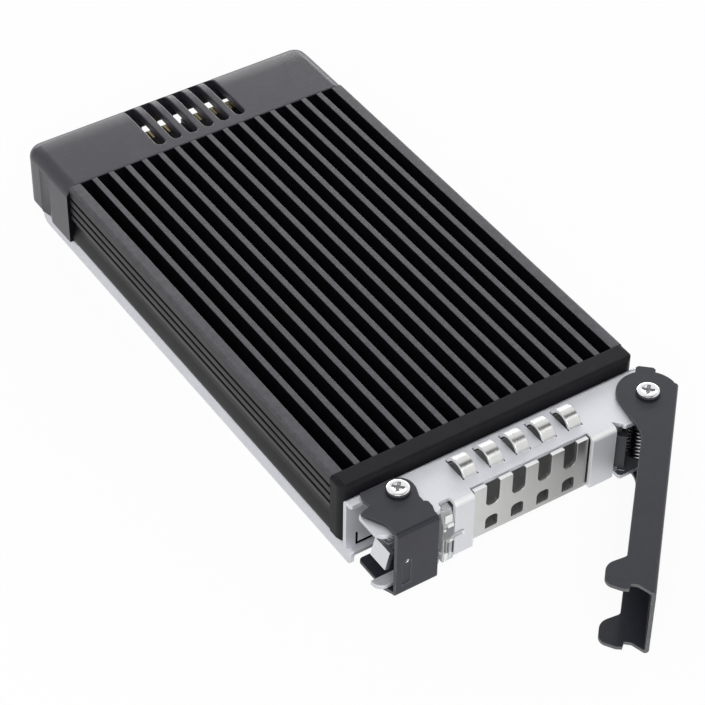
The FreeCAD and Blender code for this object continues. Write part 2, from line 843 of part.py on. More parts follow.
def pivot_screw(pivot):
    one = screw(pivot_head_radius, pivot_head_height, pivot_screw_radius, pivot_screw_depth)
    rim = [edge for edge in one.Edges if edge.CenterOfMass.z > pivot_head_height - hairline]
    one = one.makeChamfer(pivot_head_chamfer, rim)
    arm = recess_span / 2
    half = recess_width / 2
    floor = pivot_head_height - recess_depth
    cross = fuse(box((-arm, -half, floor), (arm, half, pivot_head_height)),
                 box((-half, -arm, floor), (half, arm, pivot_head_height)))
    return placed(one.cut(cross), pivot + Vector(0, 0, lever_top + running_clearance))


def torsion_spring(pivot, radius, wire, pitch, turns, seat, start_angle, legs):
    """Coil that climbs from its seat, with a straight leg of its own length at each end."""
    half = wire / 2
    height = pitch * turns
    section = Part.makePolygon([Vector(radius - half, 0, -half), Vector(radius + half, 0, -half),
                                Vector(radius + half, 0, half), Vector(radius - half, 0, half),
                                Vector(radius - half, 0, -half)])
    steps = round(turns * coil_steps)
    path = [Vector(radius * math.cos(2 * math.pi * turns * step / steps),
                   radius * math.sin(2 * math.pi * turns * step / steps), height * step / steps)
            for step in range(steps + 1)]
    coil = Part.makePolygon(path).makePipeShell([section], True, True, 1)
    lower = box((radius - half, -legs[0], -half), (radius + half, 0, half))
    upper = box((radius - half, 0, height - half), (radius + half, legs[1], height + half))
    upper.rotate(Vector(0, 0, 0), Vector(0, 0, 1), 360 * turns)
    spring = fuse(coil, lower, upper)
    spring.rotate(Vector(0, 0, 0), Vector(0, 0, 1), start_angle)
    spring.translate(pivot + Vector(0, 0, seat + half + seat_clearance))
    return spring


def lever_spring():
    """One leg rests on the step of the floor, the other presses the lever's web outwards."""
    turns = lever_coil_turns + lever_open_angle / 360
    pitch = (flange_bottom - pad_top - lever_wire - coil_headroom) / turns
    legs = (runner_front - lever_pivot.y - spring_seat_gap, web_offset - lever_sheet - spring_seat_gap)
    return torsion_spring(lever_pivot, lever_coil_radius, lever_wire, pitch, turns, pad_top, 180, legs)


def latch_spring():
    """One leg lies along the wall, the other presses the catch's front web outwards."""
    turns = latch_coil_turns + 0.25
    legs = (latch_wall_leg, latch_pivot.y - front_face - lever_sheet - spring_seat_gap)
    return torsion_spring(latch_pivot, latch_coil_radius, latch_wire, latch_coil_pitch, turns, foot_top,
                          90, legs)


# Ejector lever, drawn closed and then swung open about its post
def lever_point(reach, offset):
    """Plan point of the closed lever: distance from the pivot towards the catch, then outwards."""
    return (lever_pivot.x - reach, lever_pivot.y - offset)


def lever_plate(bottom, ear_scale):
    """One of the lever's two plates; its ear round the pivot is scaled."""
    radius = ear_radius * ear_scale
    tangent = ear_tangent * ear_scale
    edge = web_offset - lever_bend_radius
    end = [(lever_reach - back,) + tuple(rest) for back, *rest in lever_end]
    neck = [(ear_blend_length * ear_scale, -arm_inner_offset, ear_blend_radius * ear_scale),
            (tangent, -math.sqrt(radius ** 2 - tangent ** 2))]
    corners = [(0, 0), (-lever_tail, edge), (lever_reach, edge)] + end + neck
    plate = slab([lever_point(*corner[:2]) + tuple(corner[2:]) for corner in corners],
                 bottom, bottom + lever_sheet)
    ear = cylinder(radius, lever_sheet, lever_pivot + Vector(0, 0, bottom))
    overhang = [(ear_radius, edge), (-ear_radius, edge), (-ear_radius, ear_radius), (ear_radius, ear_radius)]
    ear = ear.cut(slab([lever_point(*corner) for corner in overhang], bottom, bottom + lever_sheet))
    hook = [(-hook_reach, hook_low, hook_corner), (-hook_reach, hook_high, hook_corner),
            (-hook_root, hook_high), (-hook_root, hook_low)]
    tab = slab([lever_point(*corner[:2]) + tuple(corner[2:]) for corner in hook],
               bottom, bottom + lever_sheet)
    plate = fuse(plate, ear, tab)
    base = lever_pivot + Vector(0, 0, bottom)
    return plate.cut(cylinder(spigot_radius + running_clearance, lever_sheet, base))


def folded_channel(root):
    """Section of a sheet folded twice: upper edge, front web and lower edge."""
    inner = lever_bend_radius - lever_sheet
    return [(root, lever_bottom), (front_face, lever_bottom, lever_bend_radius),
            (front_face, lever_top, lever_bend_radius), (root, lever_top), (root, lever_top - lever_sheet),
            (front_face + lever_sheet, lever_top - lever_sheet, inner),
            (front_face + lever_sheet, lever_bottom + lever_sheet, inner), (root, lever_bottom + lever_sheet)]


def lever_arm():
    left = lever_pivot.x - lever_reach
    right = lever_pivot.x + lever_tail
    web = bar(folded_channel(front_face + lever_bend_radius), left, right)
    body = fuse(web, lever_plate(lever_top - lever_sheet, 1.0),
                lever_plate(lever_bottom, lower_ear_scale))
    body.rotate(lever_pivot, Vector(0, 0, 1), lever_open_angle)
    return body


# Catch at the other end of the front
def latch_plate():
    edge = front_face + lever_bend_radius
    face_right = latch_right - latch_face_inset
    sides = [[(start + corner[0], latch_pivot.y + corner[1]) + corner[2:] for corner in side]
             for start, side in ((latch_right, latch_right_side), (latch_left, latch_left_side))]
    upper = slab(sides[0] + [(face_right, edge), (latch_left, edge)] + sides[1],
                 lever_top - lever_sheet, lever_top)
    lower_left = latch_left - latch_lower_left
    lower_right = latch_right - latch_lower_right
    lower_back = runner_front - latch_runner_gap
    lower = slab([(lower_left, lower_back, 0.9), (lower_right, lower_back, latch_lower_corner),
                  (lower_right, edge), (latch_left, edge), (lower_left, edge + latch_lower_nose)],
                 lever_bottom, lever_bottom + lever_sheet)
    body = fuse(bar(folded_channel(edge), latch_left, face_right), upper, lower)
    middle = latch_left + emboss_inset
    top = (lever_bottom + lever_top) / 2 + emboss_lift
    emboss = box((middle - emboss_width / 2, front_face, top - emboss_height),
                 (middle + emboss_width / 2, front_face + emboss_depth, top))
    hole = cylinder(key_hole_radius, lever_sheet, Vector(middle, front_face, top), Vector(0, 1, 0))
    body = body.cut(emboss).cut(hole)
    for level in (lever_bottom, lever_top - lever_sheet):
        bore = cylinder(spigot_radius + running_clearance, lever_sheet, latch_pivot + Vector(0, 0, level))
        body = body.cut(bore)
    return body


def lock_bolt():
    left = latch_left - bolt_standout
    middle_y = latch_pivot.y - bolt_setback
    middle_z = (lever_bottom + lever_top) / 2 - bolt_drop
    face = box((left, middle_y - bolt_width / 2, middle_z - bolt_height / 2),
               (left + bolt_thickness, middle_y + bolt_width / 2, middle_z + bolt_height / 2))
    face.rotate(Vector(left, middle_y, middle_z), Vector(0, 1, 0), bolt_tilt)
    low = middle_z - bolt_bar / 2
    high = middle_z + bolt_bar / 2
    stem_end = left + bolt_stem_length
    shank = box((left, middle_y - bolt_stem / 2, low), (stem_end, middle_y + bolt_stem / 2, high))
    foot = box((stem_end - bolt_stem, front_face + lever_sheet, low),
               (stem_end, middle_y + bolt_stem / 2, high))
    return fuse(face, shank, foot)


parts["heatsink"] = heatsink()
parts["rear_cap"] = rear_cap()
parts["front_cap"] = front_cap()
parts["bottom_cover"] = bottom_cover()
parts["circuit_board"] = circuit_board()
parts["module_socket"] = module_socket()
parts["ssd_module"] = ssd_module()
parts["memory_chips"] = memory_chips()
parts["controller_chip"] = controller_chip()
parts["thermal_pad"] = thermal_pad()
parts["module_standoff"] = module_standoff()
parts["module_screw"] = module_screw()
parts["rear_connector"] = rear_connector()
parts["connector_contacts"] = connector_contacts()
parts["tray_base"] = tray_base()
parts["front_bracket"] = front_bracket()
parts["drive_screws"] = drive_screws()
parts["light_pipe"] = light_pipe()
parts["lever_post"] = pivot_post(lever_pivot, pad_top)
parts["latch_post"] = pivot_post(latch_pivot, foot_top)
parts["lever_screw"] = pivot_screw(lever_pivot)
parts["latch_screw"] = pivot_screw(latch_pivot)
parts["lever_spring"] = lever_spring()
parts["latch_spring"] = latch_spring()
parts["lever_arm"] = lever_arm()
parts["latch_plate"] = latch_plate()
parts["lock_bolt"] = lock_bolt()

os.makedirs("parts", exist_ok=True)
for name, shape in parts.items():
    shape.exportStep("parts/" + name + ".step")
    print(name, "solids", len(shape.Solids), "valid", shape.isValid(), "volume", round(shape.Volume, 2))
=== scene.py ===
import bpy
import bmesh
import math
from mathutils import Matrix, Vector


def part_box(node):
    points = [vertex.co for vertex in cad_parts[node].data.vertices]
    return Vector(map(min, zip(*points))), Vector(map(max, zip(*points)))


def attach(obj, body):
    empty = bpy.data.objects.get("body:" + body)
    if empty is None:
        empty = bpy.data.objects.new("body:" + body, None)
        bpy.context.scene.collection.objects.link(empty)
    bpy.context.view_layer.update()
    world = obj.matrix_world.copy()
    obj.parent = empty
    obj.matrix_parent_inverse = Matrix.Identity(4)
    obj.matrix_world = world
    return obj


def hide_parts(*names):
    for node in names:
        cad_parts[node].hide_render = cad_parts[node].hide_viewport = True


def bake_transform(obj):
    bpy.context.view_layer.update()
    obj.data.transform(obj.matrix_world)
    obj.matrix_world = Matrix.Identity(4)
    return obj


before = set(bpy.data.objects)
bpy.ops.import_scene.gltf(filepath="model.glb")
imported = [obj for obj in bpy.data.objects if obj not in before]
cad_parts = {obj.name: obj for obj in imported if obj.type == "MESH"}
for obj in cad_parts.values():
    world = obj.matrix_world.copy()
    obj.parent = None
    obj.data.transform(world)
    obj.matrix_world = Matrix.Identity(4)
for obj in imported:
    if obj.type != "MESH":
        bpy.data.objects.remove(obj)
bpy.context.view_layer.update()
scene = bpy.context.scene
mm = 0.001
print("frame loaded:", len(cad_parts), "nodes")


# shader helpers
def setInput(tree, socket, value):
    # a number is set on the socket, anything else is linked to it
    if isinstance(value, (int, float)):
        socket.default_value = value
    else:
        tree.links.new(value, socket)


def newGroup(name, inputs, outputs):
    tree = bpy.data.node_groups.new(name, "ShaderNodeTree")
    for label, value in inputs.items():
        socket = tree.interface.new_socket(label, in_out="INPUT", socket_type="NodeSocketFloat")
        socket.default_value = value
    for label in outputs:
        tree.interface.new_socket(label, in_out="OUTPUT", socket_type="NodeSocketFloat")
    return tree, tree.nodes.new("NodeGroupInput"), tree.nodes.new("NodeGroupOutput")


def objectPlace(tree):
    return tree.nodes.new("ShaderNodeTexCoord").outputs["Object"]


def splitAxes(tree, vector):
    node = tree.nodes.new("ShaderNodeSeparateXYZ")
    tree.links.new(vector, node.inputs[0])
    return node.outputs


def noiseNode(tree, vector, scale, detail, roughness):
    node = tree.nodes.new("ShaderNodeTexNoise")
    tree.links.new(vector, node.inputs["Vector"])
    for label, value in (("Scale", scale), ("Detail", detail), ("Roughness", roughness)):
        setInput(tree, node.inputs[label], value)
    return node.outputs["Fac"]


def mathNode(tree, operation, first, second, clamp=False):
    node = tree.nodes.new("ShaderNodeMath")
    node.operation = operation
    node.use_clamp = clamp
    for index, value in enumerate((first, second)):
        setInput(tree, node.inputs[index], value)
    return node.outputs[0]


def rangeNode(tree, value, low, high, newLow=0.0, newHigh=1.0):
    node = tree.nodes.new("ShaderNodeMapRange")
    tree.links.new(value, node.inputs["Value"])
    for label, amount in (("From Min", low), ("From Max", high), ("To Min", newLow), ("To Max", newHigh)):
        setInput(tree, node.inputs[label], amount)
    return node.outputs["Result"]


mixSockets = {"first": 6, "second": 7, "result": 2}  # the colour sockets of a Mix node


def mixColours(tree, mask, first, second):
    node = tree.nodes.new("ShaderNodeMix")
    node.data_type = "RGBA"
    tree.links.new(mask, node.inputs["Factor"])
    for side, colour in (("first", first), ("second", second)):
        socket = node.inputs[mixSockets[side]]
        if isinstance(colour, tuple):
            socket.default_value = (*colour, 1.0)
        else:
            tree.links.new(colour, socket)
    return node.outputs[mixSockets["result"]]


def mixShaders(tree, share, first, second):
    node = tree.nodes.new("ShaderNodeMixShader")
    for index, value in enumerate((share, first, second)):
        tree.links.new(value, node.inputs[index])
    return node.outputs[0]


# blasted or moulded surface: fine pits with a few bright specks
grainEffect = {"inputs": {"Scale": 4000.0, "Specks": 0.3}, "fine": {"detail": 2.0, "roughness": 0.6},
               "cloud": {"scale": 700.0, "detail": 2.0, "roughness": 0.5}, "cloudShare": 0.55,
               "speckSpan": (0.62, 0.72)}


def buildGrain():
    tree, source, sink = newGroup("grain", grainEffect["inputs"], ["Shade", "Height"])
    place = objectPlace(tree)
    fine = noiseNode(tree, place, source.outputs["Scale"], **grainEffect["fine"])
    cloud = noiseNode(tree, place, **grainEffect["cloud"])
    speck = rangeNode(tree, fine, *grainEffect["speckSpan"])
    lifted = mathNode(tree, "MULTIPLY", speck, source.outputs["Specks"])
    base = mathNode(tree, "MULTIPLY", cloud, grainEffect["cloudShare"])
    tree.links.new(mathNode(tree, "ADD", base, lifted, True), sink.inputs["Shade"])
    tree.links.new(fine, sink.inputs["Height"])
    return tree


# rolling marks of sheet metal, drawn out along the axes that have small values
strokeEffect = {"inputs": {"Along X": 1.0, "Along Y": 1.0, "Along Z": 1.0, "Scale": 900.0},
                "line": {"detail": 3.0, "roughness": 0.65}, "lineShare": 0.6,
                "cloud": {"scale": 120.0, "detail": 2.0, "roughness": 0.5}, "cloudShare": 0.4}


def buildStrokes():
    tree, source, sink = newGroup("strokes", strokeEffect["inputs"], ["Shade", "Height"])
    place = objectPlace(tree)
    parts = splitAxes(tree, place)
    joined = tree.nodes.new("ShaderNodeCombineXYZ")
    for index, label in enumerate(("Along X", "Along Y", "Along Z")):
        drawn = mathNode(tree, "MULTIPLY", parts[index], source.outputs[label])
        tree.links.new(drawn, joined.inputs[index])
    line = noiseNode(tree, joined.outputs[0], source.outputs["Scale"], **strokeEffect["line"])
    cloud = noiseNode(tree, place, **strokeEffect["cloud"])
    marks = mathNode(tree, "MULTIPLY", line, strokeEffect["lineShare"])
    base = mathNode(tree, "MULTIPLY", cloud, strokeEffect["cloudShare"])
    tree.links.new(mathNode(tree, "ADD", marks, base), sink.inputs["Shade"])
    tree.links.new(line, sink.inputs["Height"])
    return tree


# painted highlight along edges, and on the lever paint also wear: where the rounded normal leaves the face's
# own normal
glintAndWearEffect = {"inputs": {"Reach": 0.0003, "Gain": 6.0, "Break": 0.5}, "samples": 6,
             "patch": {"scale": 260.0, "detail": 4.0, "roughness": 0.6}, "patchFull": 0.75}


def buildGlintAndWear():
    tree, source, sink = newGroup("edgeGlintAndWear", glintAndWearEffect["inputs"], ["Mask"])
    rounded = tree.nodes.new("ShaderNodeBevel")
    rounded.samples = glintAndWearEffect["samples"]
    tree.links.new(source.outputs["Reach"], rounded.inputs["Radius"])
    face = tree.nodes.new("ShaderNodeNewGeometry")
    product = tree.nodes.new("ShaderNodeVectorMath")
    product.operation = "DOT_PRODUCT"
    tree.links.new(rounded.outputs[0], product.inputs[0])
    tree.links.new(face.outputs["True Normal"], product.inputs[1])
    away = mathNode(tree, "SUBTRACT", 1.0, product.outputs["Value"])
    edge = mathNode(tree, "MULTIPLY", away, source.outputs["Gain"], True)
    cloud = noiseNode(tree, objectPlace(tree), **glintAndWearEffect["patch"])
    patch = rangeNode(tree, cloud, source.outputs["Break"], glintAndWearEffect["patchFull"])
    tree.links.new(mathNode(tree, "MULTIPLY", edge, patch, True), sink.inputs["Mask"])
    return tree


# slow change of gloss from handling
handlingEffect = {"inputs": {"Low": 0.4, "High": 0.5}, "span": (0.3, 0.7),
                  "cloud": {"scale": 90.0, "detail": 4.0, "roughness": 0.6}}


def buildHandling():
    tree, source, sink = newGroup("handling", handlingEffect["inputs"], ["Value"])
    cloud = noiseNode(tree, objectPlace(tree), **handlingEffect["cloud"])
    gloss = rangeNode(tree, cloud, *handlingEffect["span"], source.outputs["Low"], source.outputs["High"])
    tree.links.new(gloss, sink.inputs["Value"])
    return tree


effects = {"grain": buildGrain(), "strokes": buildStrokes(), "edgeGlintAndWear": buildGlintAndWear(),
           "handling": buildHandling()}
print("shared effects built:", len(effects))


# finishes
patternEffects = {"grain": grainEffect, "strokes": strokeEffect}


def placeEffect(tree, name, values):
    node = tree.nodes.new("ShaderNodeGroup")
    node.node_tree = effects[name]
    for label, value in values.items():
        node.inputs[label].default_value = value
    return node.outputs


def makeFinish(name, look):
    material = bpy.data.materials.new(name)
    material.use_nodes = True
    tree = material.node_tree
    shader = tree.nodes["Principled BSDF"]
    labels = patternEffects[look["pattern"]]["inputs"]
    pattern = placeEffect(tree, look["pattern"], dict(zip(labels, look["values"])))
    colour = mixColours(tree, pattern["Shade"], look["dark"], look["light"])
    # painted light: a colour fade across X, lighter or darker as the light falls off
    if "paintedLightFade" in look:
        start, end = look["paintedLightFadeFromTo"]
        share = rangeNode(tree, splitAxes(tree, objectPlace(tree))["X"], start * mm, end * mm)
        colour = mixColours(tree, share, colour, look["paintedLightFade"])
    # painted highlight along the edges, on the lever paint also wear
    if "glintAndWear" in look:
        glintAndWear = placeEffect(tree, "edgeGlintAndWear", look["glintAndWearValues"])
        colour = mixColours(tree, glintAndWear["Mask"], colour, look["glintAndWear"])
    tree.links.new(colour, shader.inputs["Base Color"])
    low, high = look["gloss"]
    gloss = placeEffect(tree, "handling", {"Low": low, "High": high})
    tree.links.new(gloss["Value"], shader.inputs["Roughness"])
    bump = tree.nodes.new("ShaderNodeBump")
    bump.inputs["Strength"].default_value = look["bump"]
    bump.inputs["Distance"].default_value = look["relief"] * mm
    tree.links.new(pattern["Height"], bump.inputs["Height"])
    tree.links.new(bump.outputs[0], shader.inputs["Normal"])
    for label, value in look["sockets"].items():
        shader.inputs[label].default_value = value
    return material


# values follow the pattern's inputs in order, relief and the span of the painted light fade are in
# millimetres
looks = {
    # fin tops: the black metal painted lighter for the light they catch
    "finTopLit": {"pattern": "grain", "values": (5200.0, 1.0), "dark": (0.044, 0.044, 0.050),
                 "light": (0.145, 0.144, 0.160), "gloss": (0.46, 0.54), "bump": 0.35, "relief": 0.06,
                 "sockets": {"IOR": 1.5, "Specular IOR Level": 0.3}},
    # painted shade: near black for the gaps between fins, slits and openings
    "gapShade": {"pattern": "grain", "values": (4200.0, 0.5), "dark": (0.002, 0.002, 0.003),
               "light": (0.008, 0.008, 0.010), "gloss": (0.55, 0.65), "bump": 0.3, "relief": 0.06,
               "sockets": {"IOR": 1.5, "Specular IOR Level": 0.06}},
    # fin sides: painted shade, with painted highlights along the groove lips
    "finSideShade": {"pattern": "grain", "values": (4200.0, 0.5), "dark": (0.006, 0.006, 0.007),
                "light": (0.020, 0.020, 0.021), "gloss": (0.42, 0.5), "bump": 0.3, "relief": 0.06,
                "glintAndWear": (0.14, 0.14, 0.145), "glintAndWearValues": {"Reach": 0.0002, "Gain": 2.4, "Break": 0.2},
                "sockets": {"IOR": 1.5, "Specular IOR Level": 0.35}},
    "capPlastic": {"pattern": "grain", "values": (3600.0, 0.3), "dark": (0.031, 0.029, 0.037),
                   "light": (0.054, 0.051, 0.065), "gloss": (0.27, 0.33), "bump": 0.3, "relief": 0.08,
                   "sockets": {"IOR": 1.48, "Specular IOR Level": 0.4}},
    "barPlastic": {"pattern": "grain", "values": (3600.0, 0.3), "dark": (0.009, 0.009, 0.011),
                   "light": (0.020, 0.020, 0.023), "gloss": (0.40, 0.50), "bump": 0.3, "relief": 0.08,
                   "sockets": {"IOR": 1.48, "Specular IOR Level": 0.1}},
    # tray steel: painted highlights along its edges
    "traySteel": {"pattern": "strokes", "values": (1.0, 0.04, 0.04, 4000.0), "dark": (0.60, 0.61, 0.65),
                  "light": (0.71, 0.72, 0.76), "gloss": (0.40, 0.50), "bump": 0.12, "relief": 0.04,
                  "glintAndWear": (0.93, 0.94, 0.96), "glintAndWearValues": {"Reach": 0.00025, "Gain": 3.0, "Break": 0.0},
                  "sockets": {"Metallic": 0.5}},
    # tab fronts: tray steel painted lighter for the light on them, lighter still towards +X, with painted
    # edge highlights
    "litTabSteel": {"pattern": "strokes", "values": (1.0, 0.04, 0.04, 4000.0), "dark": (0.68, 0.69, 0.72),
                 "light": (0.80, 0.81, 0.84), "gloss": (0.40, 0.50), "bump": 0.12, "relief": 0.04,
                 "paintedLightFade": (0.84, 0.85, 0.88), "paintedLightFadeFromTo": (-14.0, 16.0), "glintAndWear": (0.96, 0.96, 0.98),
                 "glintAndWearValues": {"Reach": 0.00025, "Gain": 3.0, "Break": 0.0}, "sockets": {"Metallic": 0.4}},
    # vent panel: painted light fading darker towards +X, with painted edge highlights
    "panelSteel": {"pattern": "strokes", "values": (1.0, 0.03, 0.03, 3200.0), "dark": (0.52, 0.52, 0.51),
                   "light": (0.70, 0.70, 0.69), "gloss": (0.28, 0.38), "bump": 0.2, "relief": 0.05,
                   "paintedLightFade": (0.36, 0.36, 0.355), "paintedLightFadeFromTo": (-12.0, 10.0), "glintAndWear": (0.93, 0.93, 0.93),
                   "glintAndWearValues": {"Reach": 0.00022, "Gain": 3.0, "Break": 0.0}, "sockets": {"Metallic": 0.8}},
    "stripSteel": {"pattern": "strokes", "values": (1.0, 0.05, 0.05, 5200.0), "dark": (0.56, 0.56, 0.55),
                   "light": (0.78, 0.78, 0.77), "gloss": (0.22, 0.28), "bump": 0.05, "relief": 0.04,
                   "sockets": {"Metallic": 1.0}},
    # painted highlight: near white on lit edges, bends and tooth tops
    "highlightSteel": {"pattern": "strokes", "values": (1.0, 0.2, 0.2, 3600.0), "dark": (0.84, 0.84, 0.85),
                  "light": (0.94, 0.94, 0.95), "gloss": (0.3, 0.4), "bump": 0.05, "relief": 0.02,
                  "sockets": {"Metallic": 0.2}},
    "shadeSteel": {"pattern": "strokes", "values": (1.0, 0.05, 0.05, 3000.0), "dark": (0.20, 0.20, 0.20),
                   "light": (0.34, 0.34, 0.34), "gloss": (0.4, 0.5), "bump": 0.1, "relief": 0.04,
                   "sockets": {"Metallic": 0.6, "Specular IOR Level": 0.2}},
    # painted shade: steel darkened inside the front bracket
    "innerShadeSteel": {"pattern": "strokes", "values": (1.0, 0.05, 0.05, 3000.0), "dark": (0.42, 0.42, 0.42),
                   "light": (0.68, 0.68, 0.68), "gloss": (0.4, 0.5), "bump": 0.1, "relief": 0.04,
                   "sockets": {"Metallic": 0.6, "Specular IOR Level": 0.2}},
    # painted shade on the walls of the vent holes
    "holeShadeSteel": {"pattern": "strokes", "values": (1.0, 0.3, 1.0, 2600.0), "dark": (0.18, 0.18, 0.18),
                  "light": (0.32, 0.32, 0.32), "gloss": (0.4, 0.5), "bump": 0.1, "relief": 0.03,
                  "sockets": {"Metallic": 0.7, "Specular IOR Level": 0.2}},
    # painted shade: dark steel beside the lever pivot, under the lances, round the screw heads and in the
    # light pipe
    "deepShadeSteel": {"pattern": "strokes", "values": (1.0, 1.0, 0.05, 3000.0), "dark": (0.055, 0.055, 0.062),
                   "light": (0.095, 0.095, 0.103), "gloss": (0.35, 0.45), "bump": 0.1, "relief": 0.03,
                   "sockets": {"Metallic": 0.5, "Specular IOR Level": 0.2}},
    "padShade": {"pattern": "grain", "values": (2600.0, 0.2), "dark": (0.085, 0.105, 0.108),
                 "light": (0.150, 0.180, 0.184), "gloss": (0.35, 0.45), "bump": 0.1, "relief": 0.04,
                 "sockets": {"Metallic": 0.3, "Specular IOR Level": 0.3}},
    "leverPaint": {"pattern": "grain", "values": (2600.0, 0.25), "dark": (0.014, 0.015, 0.022),
                   "light": (0.029, 0.030, 0.042), "gloss": (0.36, 0.46), "bump": 0.18, "relief": 0.06,
                   "glintAndWear": (0.34, 0.34, 0.36), "glintAndWearValues": {"Reach": 0.00024, "Gain": 4.5, "Break": 0.1},
                   "sockets": {"IOR": 1.5, "Specular IOR Level": 0.25, "Coat Weight": 0.25,
                               "Coat Roughness": 0.14}},
    # lever's end faces painted lighter: wear and painted highlight
    "wornAndGlintPaint": {"pattern": "grain", "values": (2600.0, 0.4), "dark": (0.07, 0.07, 0.075),
                  "light": (0.24, 0.24, 0.25), "gloss": (0.30, 0.40), "bump": 0.18, "relief": 0.06,
                  "sockets": {"IOR": 1.5, "Metallic": 0.3}},
    "screwZinc": {"pattern": "strokes", "values": (1.0, 1.0, 0.2, 2600.0), "dark": (0.72, 0.72, 0.73),
                  "light": (0.88, 0.88, 0.89), "gloss": (0.22, 0.32), "bump": 0.1, "relief": 0.03,
                  "sockets": {"Metallic": 1.0}},
    "crossShade": {"pattern": "strokes", "values": (1.0, 1.0, 0.2, 2600.0), "dark": (0.18, 0.18, 0.185),
                   "light": (0.32, 0.32, 0.33), "gloss": (0.35, 0.45), "bump": 0.1, "relief": 0.03,
                   "sockets": {"Metallic": 0.8}},
    "postSteel": {"pattern": "strokes", "values": (0.2, 0.2, 1.0, 3800.0), "dark": (0.42, 0.42, 0.43),
                  "light": (0.62, 0.62, 0.63), "gloss": (0.26, 0.34), "bump": 0.15, "relief": 0.03,
                  "sockets": {"Metallic": 1.0}},
    "springWire": {"pattern": "strokes", "values": (1.0, 1.0, 1.0, 2200.0), "dark": (0.10, 0.10, 0.105),
                   "light": (0.30, 0.30, 0.31), "gloss": (0.12, 0.18), "bump": 0.1, "relief": 0.02,
                   "sockets": {"Metallic": 1.0}},
    "boltSteel": {"pattern": "strokes", "values": (1.0, 0.1, 1.0, 2600.0), "dark": (0.60, 0.61, 0.63),
                  "light": (0.78, 0.79, 0.81), "gloss": (0.28, 0.38), "bump": 0.12, "relief": 0.04,
                  "sockets": {"Metallic": 0.95}},
    "boardMask": {"pattern": "grain", "values": (1800.0, 0.2), "dark": (0.006, 0.020, 0.012),
                  "light": (0.012, 0.034, 0.020), "gloss": (0.3, 0.4), "bump": 0.08, "relief": 0.04,
                  "sockets": {"Coat Weight": 0.3}},
    "blackResin": {"pattern": "grain", "values": (3000.0, 0.2), "dark": (0.010, 0.010, 0.011),
                   "light": (0.022, 0.022, 0.024), "gloss": (0.45, 0.55), "bump": 0.2, "relief": 0.04,
                   "sockets": {}},
    "padSheet": {"pattern": "grain", "values": (900.0, 0.2), "dark": (0.12, 0.15, 0.19),
                 "light": (0.19, 0.22, 0.27), "gloss": (0.7, 0.8), "bump": 0.3, "relief": 0.1, "sockets": {}},
    "goldPlate": {"pattern": "strokes", "values": (1.0, 0.2, 0.2, 3000.0), "dark": (0.95, 0.72, 0.32),
                  "light": (1.0, 0.86, 0.52), "gloss": (0.16, 0.24), "bump": 0.08, "relief": 0.02,
                  "sockets": {"Metallic": 0.15}},
    "brassPost": {"pattern": "strokes", "values": (0.3, 0.3, 1.0, 2400.0), "dark": (0.50, 0.36, 0.12),
                  "light": (0.68, 0.52, 0.22), "gloss": (0.28, 0.36), "bump": 0.1, "relief": 0.03,
                  "sockets": {"Metallic": 1.0}},
    "coverSheet": {"pattern": "strokes", "values": (1.0, 0.05, 1.0, 2600.0), "dark": (0.05, 0.05, 0.052),
                   "light": (0.09, 0.09, 0.094), "gloss": (0.4, 0.5), "bump": 0.12, "relief": 0.04,
                   "sockets": {"Metallic": 0.7}},
    "clearPipe": {"pattern": "grain", "values": (500.0, 0.1), "dark": (0.90, 0.92, 0.94),
                  "light": (0.97, 0.98, 0.99), "gloss": (0.03, 0.09), "bump": 0.12, "relief": 0.1,
                  "sockets": {"IOR": 1.49, "Transmission Weight": 0.55}},
    # frosted faces of the light pipe, their white also a painted highlight
    "frostedGlintPipe": {"pattern": "grain", "values": (2000.0, 0.2), "dark": (0.92, 0.93, 0.94),
                    "light": (1.0, 1.0, 1.0), "gloss": (0.15, 0.25), "bump": 0.05, "relief": 0.03,
                    "sockets": {"IOR": 1.49, "Coat Weight": 0.4}}}
finishes = {name: makeFinish(name, look) for name, look in looks.items()}
print("finishes made:", len(finishes))

# shared by the pieces: lengths in millimetres, angles in degrees
reach = {"merge": 0.002, "plane": 0.01, "cut": 0.0001, "sliver": 0.001}
angles = {"sharpEdge": 28, "oneFace": 1.0, "smoothUpTo": 50}
faceWeight = 80
axes = {"X": Vector((1, 0, 0)), "Y": Vector((0, 1, 0)), "Z": Vector((0, 0, 1))}


def addPiece(name, bm, materials, body, nodes):
    mesh = bpy.data.meshes.new(name)
    bm.to_mesh(mesh)
    bm.free()
    mesh.shade_smooth()
    for material in materials:
        mesh.materials.append(finishes[material])
    piece = bpy.data.objects.new(name, mesh)
    scene.collection.objects.link(piece)
    if body:
        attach(piece, body)
    if nodes:
        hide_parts(*nodes)
    return piece


def weighNormals(piece, sharpFrom=angles["smoothUpTo"]):
    # keeps wide faces flat beside their small rounded edges
    piece.data.set_sharp_from_angle(angle=math.radians(sharpFrom))
    step = piece.modifiers.new("flatFaces", "WEIGHTED_NORMAL")
    step.weight = faceWeight
    step.keep_sharp = True


def mergeDoubles(bm):
    bmesh.ops.remove_doubles(bm, verts=bm.verts, dist=reach["merge"] * mm)


def mergedCopy(node):
    bm = bmesh.new()
    bm.from_mesh(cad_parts[node].data)
    mergeDoubles(bm)
    return bm


def isSharp(edge):
    return edge.is_manifold and edge.calc_face_angle(0.0) > math.radians(angles["sharpEdge"])


def roundEdges(bm, edges, width, segments):
    bmesh.ops.bevel(bm, geom=edges, offset=width * mm, offset_type="OFFSET", segments=segments, profile=0.5,
                    affect="EDGES", clamp_overlap=False, material=-1, loop_slide=True)


def cutAcross(bm, geom, place, axis):
    bmesh.ops.bisect_plane(bm, geom=geom, dist=reach["cut"] * mm, plane_co=place, plane_no=axis)


def wholeMesh(bm):
    return bm.verts[:] + bm.edges[:] + bm.faces[:]


